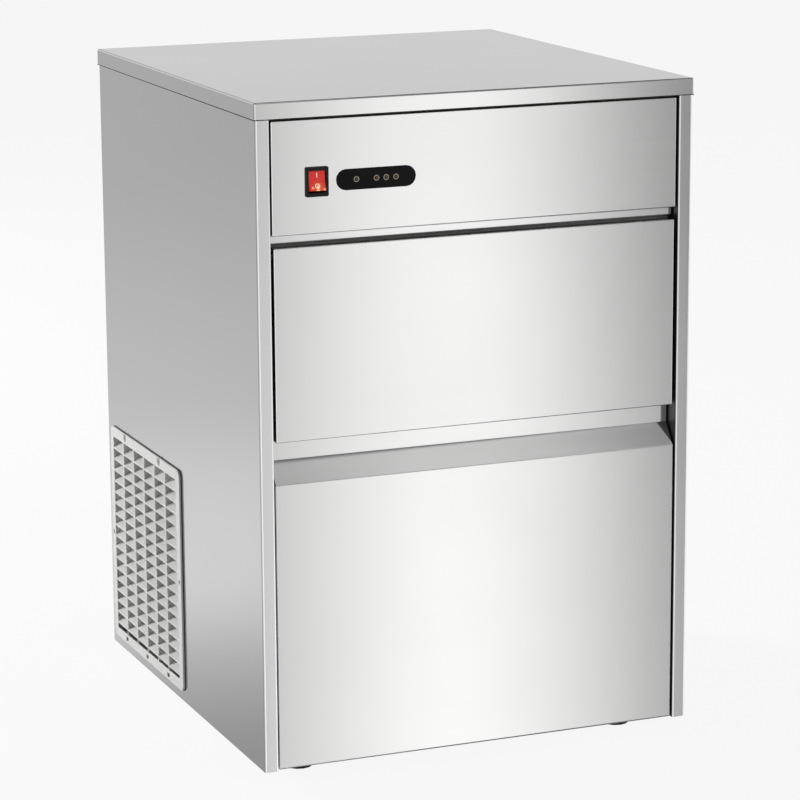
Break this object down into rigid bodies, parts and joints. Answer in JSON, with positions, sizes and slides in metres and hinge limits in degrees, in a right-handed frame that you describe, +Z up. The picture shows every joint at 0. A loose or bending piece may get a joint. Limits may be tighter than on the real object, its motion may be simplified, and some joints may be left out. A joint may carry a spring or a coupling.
{
  "type": "ice cube maker",
  "caption": "Undercounter ice cube maker: steel cabinet, lift-up door over an insulated bin, tilting water tray, condenser fan behind a side grille, levelling feet.",
  "frame": {"origin": "on the floor under the middle of the cabinet", "axes": "+Z up, the door faces -Y, +X to the right of someone facing the door"},
  "size_m": [0.5012, 0.5469, 0.73],
  "materials": {
    "top_cover": "brushed stainless sheet",
    "left_side_panel": "brushed stainless sheet",
    "right_side_panel": "brushed stainless sheet",
    "rear_panel": "brushed stainless sheet",
    "base_pan": "zinc plated, dull",
    "control_panel": "smooth stainless sheet",
    "cross_rail": "brushed stainless sheet",
    "lower_front_panel": "smooth stainless sheet",
    "left_vent_grille": "moulded, light grey",
    "bin_insulation": "foam",
    "bin_liner": "moulded, white",
    "bin_mouth_frame": "moulded, white",
    "insulated_ceiling": "foam",
    "door_skin": "smooth stainless sheet",
    "door_core": "moulded, white",
    "door_gasket": "black",
    "left_hinge_pin": "brushed stainless sheet",
    "right_hinge_pin": "brushed stainless sheet",
    "switch_housing": "moulded, black",
    "switch_rocker": "translucent, lit red",
    "display_window": "black lens",
    "display_board": "circuit board",
    "evaporator": "nickel plated copper",
    "evaporator_coil": "copper",
    "left_evaporator_hanger": "zinc plated, dull",
    "right_evaporator_hanger": "zinc plated, dull",
    "water_tray": "moulded, white",
    "tray_bearing_block": "moulded, white",
    "tray_motor": "moulded, black",
    "ice_level_sensor": "brushed stainless sheet",
    "water_inlet_valve": "moulded, white",
    "water_fill_tube": "tube",
    "bin_drain": "moulded, white",
    "drain_hose": "black",
    "drain_spigot": "moulded, white",
    "cable_gland": "moulded, black",
    "compressor": "black paint",
    "compressor_terminal_cover": "moulded, black",
    "compressor_grommet_front_left": "black",
    "compressor_grommet_front_right": "black",
    "compressor_grommet_rear_left": "black",
    "compressor_grommet_rear_right": "black",
    "condenser": "bare",
    "fan_shroud": "black paint",
    "fan_blades": "bare",
    "fan_motor": "black paint",
    "fan_motor_strap": "zinc plated, dull",
    "filter_drier": "copper",
    "liquid_line": "copper",
    "capillary_line": "copper",
    "suction_line": "copper",
    "discharge_line": "copper",
    "hot_gas_valve": "zinc plated, dull",
    "hot_gas_line": "copper",
    "control_box": "moulded, black",
    "control_box_lid": "moulded, black",
    "foot_front_left": "black, with a steel stud",
    "foot_front_right": "black, with a steel stud",
    "foot_rear_left": "black, with a steel stud",
    "foot_rear_right": "black, with a steel stud"
  },
  "bodies": {
    "cabinet": {"top_cover": "top_cover", "left_side_panel": "left_side_panel", "right_side_panel": "right_side_panel", "rear_panel": "rear_panel", "base_pan": "base_pan", "control_panel": "control_panel", "cross_rail": "cross_rail", "lower_front_panel": "lower_front_panel", "left_vent_grille": "left_vent_grille", "bin_insulation": "bin_insulation", "bin_liner": "bin_liner", "bin_mouth_frame": "bin_mouth_frame", "insulated_ceiling": "insulated_ceiling", "left_hinge_pin": "left_hinge_pin", "right_hinge_pin": "right_hinge_pin", "switch_housing": "switch_housing", "display_window": "display_window", "display_board": "display_board", "evaporator": "evaporator", "evaporator_coil": "evaporator_coil", "left_evaporator_hanger": "left_evaporator_hanger", "right_evaporator_hanger": "right_evaporator_hanger", "tray_bearing_block": "tray_bearing_block", "tray_motor": "tray_motor", "ice_level_sensor": "ice_level_sensor", "water_inlet_valve": "water_inlet_valve", "water_fill_tube": "water_fill_tube", "bin_drain": "bin_drain", "drain_hose": "drain_hose", "drain_spigot": "drain_spigot", "cable_gland": "cable_gland", "compressor": "compressor", "compressor_terminal_cover": "compressor_terminal_cover", "compressor_grommet_front_left": "compressor_grommet_front_left", "compressor_grommet_front_right": "compressor_grommet_front_right", "compressor_grommet_rear_left": "compressor_grommet_rear_left", "compressor_grommet_rear_right": "compressor_grommet_rear_right", "condenser": "condenser", "fan_shroud": "fan_shroud", "fan_motor": "fan_motor", "fan_motor_strap": "fan_motor_strap", "filter_drier": "filter_drier", "liquid_line": "liquid_line", "capillary_line": "capillary_line", "suction_line": "suction_line", "discharge_line": "discharge_line", "hot_gas_valve": "hot_gas_valve", "hot_gas_line": "hot_gas_line", "control_box": "control_box", "control_box_lid": "control_box_lid"},
    "door": {"door_skin": "door_skin", "door_core": "door_core", "door_gasket": "door_gasket"},
    "rocker": {"switch_rocker": "switch_rocker"},
    "tray": {"water_tray": "water_tray"},
    "fan": {"fan_blades": "fan_blades"},
    "foot_fl": {"foot_front_left": "foot_front_left"},
    "foot_fr": {"foot_front_right": "foot_front_right"},
    "foot_rl": {"foot_rear_left": "foot_rear_left"},
    "foot_rr": {"foot_rear_right": "foot_rear_right"}
  },
  "joints": [
    {"name": "door_hinge", "type": "hinge", "parent": "cabinet", "child": "door", "pos_m": [0, -0.26, 0.571], "axis": [-1, 0, 0], "range_deg": [0, 80]},
    {"name": "switch_rock", "type": "hinge", "parent": "cabinet", "child": "rocker", "pos_m": [-0.1815, -0.2625, 0.645], "axis": [1, 0, 0], "range_deg": [0, 22]},
    {"name": "tray_tilt", "type": "hinge", "parent": "cabinet", "child": "tray", "pos_m": [0, 0.068, 0.6632], "axis": [1, 0, 0], "range_deg": [0, 75]},
    {"name": "fan_spin", "type": "hinge", "parent": "cabinet", "child": "fan", "pos_m": [-0.1742, 0.124, 0.151], "axis": [1, 0, 0], "continuous": true},
    {"name": "foot_front_left_screw", "type": "slide", "parent": "cabinet", "child": "foot_fl", "axis": [0, 0, -1], "range_m": [0, 0.01]},
    {"name": "foot_front_right_screw", "type": "slide", "parent": "cabinet", "child": "foot_fr", "axis": [0, 0, -1], "range_m": [0, 0.01]},
    {"name": "foot_rear_left_screw", "type": "slide", "parent": "cabinet", "child": "foot_rl", "axis": [0, 0, -1], "range_m": [0, 0.01]},
    {"name": "foot_rear_right_screw", "type": "slide", "parent": "cabinet", "child": "foot_rr", "axis": [0, 0, -1], "range_m": [0, 0.01]}
  ]
}
